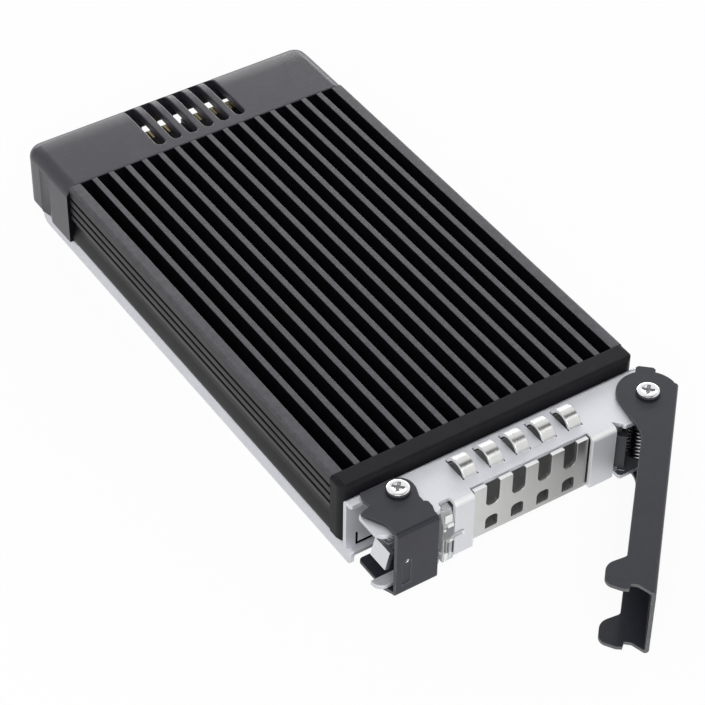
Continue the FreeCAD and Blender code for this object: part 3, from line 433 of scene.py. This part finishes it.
def joinFaces(bm, planes):
    # flat facets become one face each, except on planes where the holes leave no room for that
    kept = set()
    for axis, place in planes:
        index = "XYZ".index(axis)
        for edge in bm.edges:
            if all(abs(vert.co[index] - place * mm) < reach["plane"] * mm for vert in edge.verts):
                kept.add(edge)
    loose = [edge for edge in bm.edges if edge not in kept]
    bmesh.ops.dissolve_limit(bm, angle_limit=math.radians(angles["oneFace"]), verts=bm.verts, edges=loose)


def trimFlush(bm, plan):
    # the bolt's arm ends level with the bolt's slanted face
    edgeX, edgeZ = plan["from"]
    near = reach["plane"] * mm
    proud = [vert for vert in bm.verts
             if abs(vert.co.x - edgeX * mm) < near and abs(vert.co.z - edgeZ * mm) < near]
    bmesh.ops.translate(bm, verts=proud, vec=((plan["to"] - edgeX) * mm, 0, 0))
    mergeDoubles(bm)
    bmesh.ops.dissolve_degenerate(bm, edges=bm.edges, dist=reach["sliver"] * mm)
    print("arm trimmed flush:", len(proud), "corners")


def crownEdge(bm, plan):
    # the cap's top falls away softly towards its rear edge
    start, finish = plan["from"] * mm, plan["to"] * mm
    for step in range(plan["cuts"]):
        place = Vector((0, start + (finish - start) * step / plan["cuts"], 0))
        cutAcross(bm, wholeMesh(bm), place, axes["Y"])
    low, high = plan["between"]
    for vert in bm.verts:
        along = (vert.co.y - start) / (finish - start)
        height = min(1.0, (vert.co.z / mm - low) / (high - low))
        if along > 0 and height > 0:
            fall = plan["drop"] * mm * along * along * height
            bmesh.ops.translate(bm, verts=[vert], vec=(0, 0, -fall))


# copies of the solids with rounded edges
sheetPieces = {
    "heatsink": {"body": "tray", "finish": "finTopLit", "slot": "fin_metal", "round": 0.10, "steps": 2},
    "rear_cap": {"body": "tray", "finish": "capPlastic", "slot": "cap_plastic", "round": 0.3, "steps": 3,
                 "above": 16.0, "sharp": 12,
                 "crown": {"from": 57.0, "to": 63.8, "cuts": 8, "between": (12.0, 15.0), "drop": 0.6}},
    "front_cap": {"body": "tray", "finish": "barPlastic", "slot": "cap_plastic", "round": 0.15, "steps": 3},
    "tray_base": {"body": "tray", "finish": "traySteel", "slot": "tray_steel", "round": 0.13, "steps": 2,
                  "facets": (("Y", -74.5),),
                  "cuts": {"X": (14.5, -21.0, -28.3, -32.7), "Y": (-65.0, -63.9)}},
    "front_bracket": {"body": "tray", "finish": "traySteel", "slot": "tray_steel", "round": 0.09, "steps": 2,
                      "split": True, "cuts": {"X": (-17.0,)}},
    "lever_arm": {"body": "lever", "finish": "leverPaint", "slot": "lever_paint", "round": 0.11, "steps": 2},
    "latch_plate": {"body": "latch", "finish": "leverPaint", "slot": "lever_paint", "round": 0.10,
                    "steps": 2},
    "lock_bolt": {"body": "latch", "finish": "boltSteel", "slot": "bolt_steel", "round": 0.08, "steps": 2,
                  "join": False, "flush": {"from": (-32.95, 9.2), "to": -32.762}},
    "rear_connector": {"body": "tray", "finish": "blackResin", "slot": "socket_plastic", "round": 0.12,
                       "steps": 2},
    "light_pipe": {"body": "tray", "finish": "clearPipe", "slot": "clear_plastic", "round": 0.18, "steps": 2,
                   "join": False}}


def makeSheet(node, plan):
    bm = mergedCopy(node)
    if "flush" in plan:
        trimFlush(bm, plan["flush"])
    if plan.get("join", True):
        joinFaces(bm, plan.get("facets", ()))
    if plan.get("split"):
        bmesh.ops.connect_verts_concave(bm, faces=bm.faces)
    low = plan.get("above", -1.0) * mm
    sharp = [edge for edge in bm.edges if isSharp(edge) and min(vert.co.z for vert in edge.verts) > low]
    roundEdges(bm, sharp, plan["round"], plan["steps"])
    for axis, places in plan.get("cuts", {}).items():
        for place in places:
            cutAcross(bm, wholeMesh(bm), axes[axis] * place * mm, axes[axis])
    if "crown" in plan:
        crownEdge(bm, plan["crown"])
    piece = addPiece(node + "_form", bm, [plan["finish"]], plan["body"], [node])
    weighNormals(piece, plan.get("sharp", angles["smoothUpTo"]))
    return piece


made = {node: makeSheet(node, plan) for node, plan in sheetPieces.items()}
print("rounded copies made:", len(made))

# pivot screws: a domed bright head round a cross recess; the recess and the head's sides are painted shade
pivotScrew = {"rimFrom": 1.9, "crossWithin": 1.5, "crossBelow": 0.05, "round": 0.26, "steps": 3, "turn": 45,
              "steep": 0.6, "finishes": ["screwZinc", "crossShade", "deepShadeSteel"]}


def fromAxis(vert, middle):
    return (vert.co - middle).xy.length


def domeScrew(node):
    bm = mergedCopy(node)
    low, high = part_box(node)
    middle = (low + high) / 2
    rim = [edge for edge in bm.edges if isSharp(edge)
           and min(fromAxis(vert, middle) for vert in edge.verts) > pivotScrew["rimFrom"] * mm]
    roundEdges(bm, rim, pivotScrew["round"], pivotScrew["steps"])
    turn = Matrix.Rotation(math.radians(pivotScrew["turn"]), 3, "Z")
    bmesh.ops.rotate(bm, cent=middle, matrix=turn, verts=bm.verts)
    for face in bm.faces:
        deep = face.calc_center_median().z < high.z - pivotScrew["crossBelow"] * mm
        inCross = max(fromAxis(vert, middle) for vert in face.verts) < pivotScrew["crossWithin"] * mm
        if deep and inCross:
            face.material_index = pivotScrew["finishes"].index("crossShade")
        elif deep and face.normal.z < pivotScrew["steep"]:
            face.material_index = pivotScrew["finishes"].index("deepShadeSteel")
    weighNormals(addPiece(node + "_form", bm, pivotScrew["finishes"], "tray", [node]))


for node in ("lever_screw", "latch_screw"):
    domeScrew(node)
print("pivot screws domed")

# drive screws: a cross recess in each head, which points down, with painted shade in the recess
mountScrew = {"arm": 0.8, "span": 3.0, "depth": 0.5, "headArea": 15.0, "reach": 3.0, "downFrom": -0.99}


def headFaces(bm, middle):
    near = [face for face in bm.faces if face.normal.z < mountScrew["downFrom"]]
    return [face for face in near if (face.calc_center_median() - middle).length < mountScrew["reach"] * mm]


def recessHead(bm, middle):
    halfSpan, halfArm = mountScrew["span"] / 2 * mm, mountScrew["arm"] / 2 * mm
    for axis in (axes["X"], axes["Y"]):
        for offset in (halfSpan, halfArm, -halfArm, -halfSpan):
            faces = headFaces(bm, middle)
            edges = list({edge for face in faces for edge in face.edges})
            verts = list({vert for face in faces for vert in face.verts})
            cutAcross(bm, verts + edges + faces, middle + axis * offset, axis)
    cross = []
    for face in headFaces(bm, middle):
        way = face.calc_center_median() - middle
        short, far = sorted((abs(way.x), abs(way.y)))
        if short < halfArm and far < halfSpan:
            cross.append(face)
    pushed = bmesh.ops.extrude_face_region(bm, geom=cross)["geom"]
    inner = [item for item in pushed if isinstance(item, bmesh.types.BMVert)]
    bmesh.ops.translate(bm, verts=inner, vec=(0, 0, mountScrew["depth"] * mm))
    for face in {face for vert in inner for face in vert.link_faces}:
        face.material_index = 1


bm = mergedCopy("drive_screws")
joinFaces(bm, ())
heads = [face.calc_center_median() for face in bm.faces
         if face.normal.z < mountScrew["downFrom"] and face.calc_area() > mountScrew["headArea"] * mm * mm]
for middle in heads:
    recessHead(bm, middle)
bmesh.ops.recalc_face_normals(bm, faces=bm.faces)
piece = addPiece("drive_screws_form", bm, ["screwZinc", "crossShade"], "tray",
                 ["drive_screws"])
piece.data.set_sharp_from_angle(angle=math.radians(angles["sharpEdge"]))
print("drive screws recessed:", len(heads))

# light pipe: moulded ribs, some frosted white that also stands in for a painted highlight, and some dark as
# painted shade seen through the clear plastic
pipeRibs = [{"low": (-19.6, -76.95, 10.7), "high": (-18.2, -76.55, 11.4), "finish": "frostedGlintPipe"},
            {"low": (-20.4, -76.85, 9.9), "high": (-19.9, -76.55, 10.5), "finish": "frostedGlintPipe"},
            {"low": (-20.2, -76.9, 1.8), "high": (-19.3, -76.55, 3.6), "finish": "frostedGlintPipe"},
            {"low": (-16.1, -77.0, 7.25), "high": (-15.6, -76.7, 7.95), "finish": "frostedGlintPipe"},
            {"low": (-19.0, -76.9, 6.6), "high": (-18.1, -76.55, 7.1), "finish": "frostedGlintPipe"},
            {"low": (-20.2, -76.75, 11.9), "high": (-18.5, -76.55, 13.9), "finish": "frostedGlintPipe"},
            {"low": (-20.3, -76.75, 7.6), "high": (-18.1, -76.5, 10.6), "finish": "crossShade"},
            {"low": (-20.0, -76.85, 3.9), "high": (-19.8, -76.5, 7.2), "finish": "crossShade"},
            {"low": (-19.3, -76.85, 2.6), "high": (-19.1, -76.5, 6.2), "finish": "crossShade"},
            {"low": (-18.2, -76.85, 3.2), "high": (-18.0, -76.5, 6.4), "finish": "deepShadeSteel"}]
ribFinishes = ["frostedGlintPipe", "crossShade", "deepShadeSteel"]
ribRounding = {"width": 0.06, "segments": 2}
bm = bmesh.new()
for plan in pipeRibs:
    low, high = Vector(plan["low"]) * mm, Vector(plan["high"]) * mm
    shape = Matrix.Translation((low + high) / 2) @ Matrix.Diagonal((*(high - low), 1.0))
    block = bmesh.ops.create_cube(bm, size=1.0, matrix=shape)
    for face in {face for vert in block["verts"] for face in vert.link_faces}:
        face.material_index = ribFinishes.index(plan["finish"])
roundEdges(bm, bm.edges[:], **ribRounding)
addPiece("light_pipe_faces", bm, ribFinishes, "tray", [])
print("light pipe ribs added:", len(pipeRibs))

# painted light on the fins: lit grey on top, painted shade black between the fins and dark along the side
fins = {"topAbove": 17.6, "topFacing": 0.3, "gapWithin": 33.4, "gapAbove": 12.0}
for finish in ("gapShade", "finSideShade"):
    made["heatsink"].data.materials.append(finishes[finish])
for face in made["heatsink"].data.polygons:
    isTop = face.center.z > fins["topAbove"] * mm and face.normal.z > fins["topFacing"]
    inGap = abs(face.center.x) < fins["gapWithin"] * mm and face.center.z > fins["gapAbove"] * mm
    face.material_index = 0 if isTop else 1 if inGap else 2
print("fins dressed")

# faces given another finish, most of them painted shade or painted highlights: a box in millimetres and the
# ways they face
anyWay = None
upward = ((0, 0, 1),)
downward = ((0, 0, -1),)
forward = ((0, -1, 0),)
backward = ((0, 1, 0),)
leftward = ((-1, 0, 0),)
sideways = ((1, 0, 0), (-1, 0, 0), (0, 0, 1), (0, 0, -1))
bendward = ((0, -0.7, 0.7),)
lanceRear = ((0, 0.7, 0.7),)
underLance = ((0, 0, -1), (0, 0.7, -0.7), (0, -0.7, -0.7))
leverEnd = ((-0.677, -0.736, 0), (-0.98, -0.2, 0), (-0.2, -0.98, 0))
facingFrom = 0.8  # cosine between a face and its way
zones = {
    "rear_cap": [
        # painted shade where the fin gaps end on the cap
        {"finish": "gapShade", "low": (-33.4, 44.2, 5.0), "high": (33.4, 44.4, 18.0), "way": forward}],
    "tray_base": [
        # painted shade in the vent holes, behind the panel, on the floor inside, in the gap at the panel's
        # end, in the slit and on the guard; painted highlight on the panel's tooth tops
        {"finish": "panelSteel", "low": (-13.0, -77.0, 2.1), "high": (15.2, -74.4, 16.0), "way": anyWay},
        {"finish": "holeShadeSteel", "low": (-13.0, -75.4, 3.3), "high": (14.5, -74.6, 15.3), "way": sideways},
        {"finish": "shadeSteel", "low": (-13.0, -74.7, 3.0), "high": (15.2, -74.3, 16.0), "way": backward},
        {"finish": "shadeSteel", "low": (-20.0, -75.6, 3.1), "high": (22.5, -64.0, 3.3), "way": upward},
        {"finish": "highlightSteel", "low": (-13.0, -76.0, 15.4), "high": (15.2, -74.0, 15.6), "way": upward},
        {"finish": "gapShade", "low": (14.5, -75.7, 3.4), "high": (15.0, -74.3, 15.7), "way": anyWay},
        {"finish": "deepShadeSteel", "low": (20.4, -77.0, 2.3), "high": (25.2, -71.5, 13.0), "way": anyWay},
        {"finish": "padShade", "low": (22.0, -77.2, 1.0), "high": (35.1, -64.0, 2.6), "way": upward},
        {"finish": "gapShade", "low": (-32.8, -65.1, 3.1), "high": (-28.2, -63.8, 3.3), "way": upward}],
    "front_bracket": [
        # painted shade on the flange underside, inner walls, tab backs, under the lances and in the openings;
        # painted highlight on left edges and bends; tab fronts painted lighter
        {"finish": "shadeSteel", "low": (-36.0, -78.0, 14.9), "high": (36.0, -64.0, 15.1), "way": downward},
        {"finish": "innerShadeSteel", "low": (-17.0, -65.1, 3.0), "high": (36.0, -64.8, 16.0), "way": forward},
        {"finish": "shadeSteel", "low": (-18.0, -75.8, 1.0), "high": (22.0, -75.4, 15.0), "way": backward},
        {"finish": "innerShadeSteel", "low": (-17.0, -70.6, 4.0), "high": (22.5, -64.8, 4.4), "way": upward},
        {"finish": "stripSteel", "low": (-14.0, -75.0, 16.06), "high": (17.0, -64.0, 19.0), "way": anyWay},
        {"finish": "traySteel", "low": (-14.0, -75.0, 16.06), "high": (17.0, -64.0, 19.0), "way": lanceRear},
        {"finish": "gapShade", "low": (-33.0, -65.2, 3.1), "high": (-28.0, -63.5, 6.7), "way": sideways},
        {"finish": "highlightSteel", "low": (-18.0, -78.0, 1.5), "high": (22.0, -66.0, 19.0), "way": leftward},
        {"finish": "litTabSteel", "low": (-18.0, -78.0, 1.0), "high": (24.0, -76.0, 14.9), "way": forward},
        {"finish": "highlightSteel", "low": (-18.0, -78.0, 14.6), "high": (24.0, -75.4, 16.2), "way": bendward},
        {"finish": "deepShadeSteel", "low": (-14.0, -75.0, 15.2), "high": (17.0, -64.0, 19.0), "way": underLance},
        {"finish": "gapShade", "low": (-14.0, -74.5, 14.9), "high": (17.0, -66.0, 16.0), "way": leftward}],
    "lever_arm": [
        # lighter end faces: wear and painted highlight
        {"finish": "wornAndGlintPaint", "low": (-12.0, -116.0, 0.0), "high": (8.0, -108.0, 17.5), "way": leverEnd}],
    "latch_plate": [
        # painted highlight in the key hole
        {"finish": "screwZinc", "low": (-30.0, -78.15, 7.0), "high": (-26.0, -77.7, 12.0), "way": anyWay}]}


def inZone(face, plan):
    inside = all(plan["low"][axis] * mm < face.center[axis] < plan["high"][axis] * mm for axis in range(3))
    ways = plan["way"]
    return inside and (ways is anyWay or any(face.normal.dot(Vector(way)) > facingFrom for way in ways))


def dressZone(mesh, plan):
    names = [material.name for material in mesh.materials]
    if plan["finish"] not in names:
        mesh.materials.append(finishes[plan["finish"]])
        names.append(plan["finish"])
    for face in mesh.polygons:
        if inZone(face, plan):
            face.material_index = names.index(plan["finish"])


for node, plans in zones.items():
    for plan in plans:
        dressZone(made[node].data, plan)
print("face zones dressed:", sum(len(plans) for plans in zones.values()))

plainNodes = {
    "bottom_cover": "coverSheet", "circuit_board": "boardMask", "module_socket": "blackResin",
    "ssd_module": "boardMask", "memory_chips": "blackResin", "controller_chip": "blackResin",
    "thermal_pad": "padSheet", "module_standoff": "brassPost", "module_screw": "screwZinc",
    "connector_contacts": "goldPlate", "lever_post": "postSteel", "latch_post": "postSteel",
    "lever_spring": "springWire", "latch_spring": "springWire"}
for node, finish in plainNodes.items():
    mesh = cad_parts[node].data
    mesh.materials.clear()
    mesh.materials.append(finishes[finish])
print("plain nodes dressed:", len(plainNodes))

# torsion springs of round wire
fullTurn = 2 * math.pi
leverSwing = 47.4  # degrees from closed to where the lever rests
leverCoil = {"node": "lever_spring", "mover": "lever", "radius": 3.95, "wire": 0.62, "sides": 10,
             "stepsPerTurn": 36, "turns": 12 + leverSwing / 360, "height": 11.6, "base": (31.2, -72.6, 2.58),
             "start": 180, "lowerLeg": 5.7, "upperLeg": 4.7}
latchCoil = {"node": "latch_spring", "mover": "latch", "radius": 2.85, "wire": 0.46, "sides": 10,
             "stepsPerTurn": 36, "turns": 4.25, "height": 5.1, "base": (-25.5, -68.4, 4.48),
             "start": 90, "lowerLeg": 5.0, "upperLeg": 8.4}


def pullLeg(bm, edges, way, length):
    pulled = bmesh.ops.extrude_edge_only(bm, edges=edges)["geom"]
    tip = [item for item in pulled if isinstance(item, bmesh.types.BMVert)]
    bmesh.ops.translate(bm, verts=tip, vec=way * length * mm)
    tipEdges = [item for item in pulled if isinstance(item, bmesh.types.BMEdge)
                and all(vert in tip for vert in item.verts)]
    bmesh.ops.edgeloop_fill(bm, edges=tipEdges)


def helix(name, plan):
    bm = bmesh.new()
    ringPlace = Matrix.Translation((plan["radius"] * mm, 0, 0)) @ Matrix.Rotation(fullTurn / 4, 4, "X")
    ring = bmesh.ops.create_circle(bm, cap_ends=False, radius=plan["wire"] / 2 * mm, segments=plan["sides"],
                                   matrix=ringPlace)
    startVerts = ring["verts"]
    startEdges = list({edge for vert in startVerts for edge in vert.link_edges})
    steps = round(plan["turns"] * plan["stepsPerTurn"])
    rise = plan["height"] / steps * mm
    last = fullTurn * plan["turns"]
    spun = bmesh.ops.spin(bm, geom=startVerts + startEdges, cent=(0, 0, 0), axis=axes["Z"], dvec=(0, 0, rise),
                          angle=last, steps=steps)
    endEdges = [item for item in spun["geom_last"] if isinstance(item, bmesh.types.BMEdge)]
    pullLeg(bm, startEdges, -axes["Y"], plan["lowerLeg"])
    pullLeg(bm, endEdges, Vector((-math.sin(last), math.cos(last), 0)), plan["upperLeg"])
    bmesh.ops.recalc_face_normals(bm, faces=bm.faces)
    low = Vector(plan["base"]) * mm
    place = Matrix.Translation(low) @ Matrix.Rotation(math.radians(plan["start"]), 4, "Z")
    bmesh.ops.transform(bm, matrix=place, verts=bm.verts)
    piece = addPiece(name, bm, ["springWire"], None, [plan["node"]])
    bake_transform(piece)


helix("lever_coil", leverCoil)
helix("latch_coil", latchCoil)
print("springs wound")

# stage, light and camera
studio = {"sky": 0.45, "dark": 0.05, "darkAbove": (0.74, 0.82), "darkBefore": (0.0, 0.2)}
paperFloor = {"size": 6.0, "below": 0.02, "colour": (0.93, 0.93, 0.93, 1.0), "roughness": 0.9, "shadow": 0.07}
lamps = {
    "keyBox": {"from": (-0.34, -0.52, 0.62), "to": (0.0, -0.02, 0.0), "size": (0.55, 0.55), "power": 3.8},
    "bendStrip": {"from": (0.37, -0.41, 0.71), "to": (0.0, -0.07, 0.01), "size": (0.5, 0.12), "power": 0.3},
    "rearStrip": {"from": (0.42, 0.75, 0.30), "to": (0.0, 0.03, 0.02), "size": (1.4, 0.18), "power": 4.8}}
camera = {"place": (-0.22226, -0.34660, 0.36254), "azimuth": -33.754, "elevation": 42.343, "roll": 0.852,
          "lens": 130.6, "sensor": 36.0, "clipFrom": 0.01}


def backgroundNode(tree, strength):
    node = tree.nodes.new("ShaderNodeBackground")
    node.inputs["Color"].default_value = (1.0, 1.0, 1.0, 1.0)
    node.inputs["Strength"].default_value = strength
    return node


def straightRays(tree, path):
    return mathNode(tree, "MAXIMUM", path.outputs["Is Camera Ray"], path.outputs["Is Transmission Ray"])


def buildWorld():
    # white to the camera and through clear plastic, soft light, dark overhead in mirrored rays
    world = bpy.data.worlds.new("studioAir")
    scene.world = world
    world.use_nodes = True
    tree = world.node_tree
    tree.nodes.clear()
    out = tree.nodes.new("ShaderNodeOutputWorld")
    soft = backgroundNode(tree, studio["sky"])
    seen = backgroundNode(tree, 1.0)
    mirrored = backgroundNode(tree, 1.0)
    parts = splitAxes(tree, tree.nodes.new("ShaderNodeTexCoord").outputs["Generated"])
    over = rangeNode(tree, parts["Z"], *studio["darkAbove"], 1.0, studio["dark"])
    behind = rangeNode(tree, parts["Y"], *studio["darkBefore"], studio["dark"], 1.0)
    tree.links.new(mathNode(tree, "MAXIMUM", over, behind), mirrored.inputs["Color"])
    path = tree.nodes.new("ShaderNodeLightPath")
    lit = mixShaders(tree, path.outputs["Is Glossy Ray"], soft.outputs[0], mirrored.outputs[0])
    shown = mixShaders(tree, straightRays(tree, path), lit, seen.outputs[0])
    tree.links.new(shown, out.inputs["Surface"])


def buildFloor():
    bm = bmesh.new()
    bmesh.ops.create_grid(bm, x_segments=1, y_segments=1, size=paperFloor["size"] / 2)
    bmesh.ops.translate(bm, verts=bm.verts, vec=(0, 0, -paperFloor["below"] * mm))
    mesh = bpy.data.meshes.new("paperFloor")
    bm.to_mesh(mesh)
    bm.free()
    floor = bpy.data.objects.new("paperFloor", mesh)
    scene.collection.objects.link(floor)
    material = bpy.data.materials.new("whitePaper")
    material.use_nodes = True
    tree = material.node_tree
    shader = tree.nodes["Principled BSDF"]
    shader.inputs["Base Color"].default_value = paperFloor["colour"]
    shader.inputs["Roughness"].default_value = paperFloor["roughness"]
    glow = tree.nodes.new("ShaderNodeEmission")
    path = tree.nodes.new("ShaderNodeLightPath")
    shown = mathNode(tree, "MAXIMUM", straightRays(tree, path), path.outputs["Is Glossy Ray"])
    share = mathNode(tree, "MULTIPLY", shown, 1.0 - paperFloor["shadow"])
    surface = mixShaders(tree, share, shader.outputs[0], glow.outputs[0])
    tree.links.new(surface, tree.nodes["Material Output"].inputs["Surface"])
    mesh.materials.append(material)


def addLamp(name, plan):
    light = bpy.data.lights.new(name, "AREA")
    light.shape = "RECTANGLE"
    light.size, light.size_y = plan["size"]
    light.energy = plan["power"]
    lamp = bpy.data.objects.new(name, light)
    lamp.location = plan["from"]
    lamp.rotation_euler = (Vector(plan["to"]) - Vector(plan["from"])).to_track_quat("-Z", "Y").to_euler()
    scene.collection.objects.link(lamp)


def buildCamera():
    around, above, tilt = (math.radians(camera[name]) for name in ("azimuth", "elevation", "roll"))
    back = Vector((math.sin(around) * math.cos(above), -math.cos(around) * math.cos(above), math.sin(above)))
    right = Vector((math.cos(around), math.sin(around), 0))
    up = back.cross(right)
    side = right * math.cos(tilt) + up * math.sin(tilt)
    top = up * math.cos(tilt) - right * math.sin(tilt)
    data = bpy.data.cameras.new("studioCamera")
    data.lens = camera["lens"]
    data.sensor_width = camera["sensor"]
    data.sensor_fit = "HORIZONTAL"
    data.clip_start = camera["clipFrom"]
    eye = bpy.data.objects.new("studioCamera", data)
    turn = Matrix((side, top, back)).transposed().to_4x4()
    eye.matrix_world = Matrix.Translation(camera["place"]) @ turn
    scene.collection.objects.link(eye)
    scene.camera = eye


buildWorld()
buildFloor()
for lampName, lampPlan in lamps.items():
    addLamp(lampName, lampPlan)
buildCamera()
scene.view_settings.view_transform = "Standard"
print("stage, lamps and camera set")
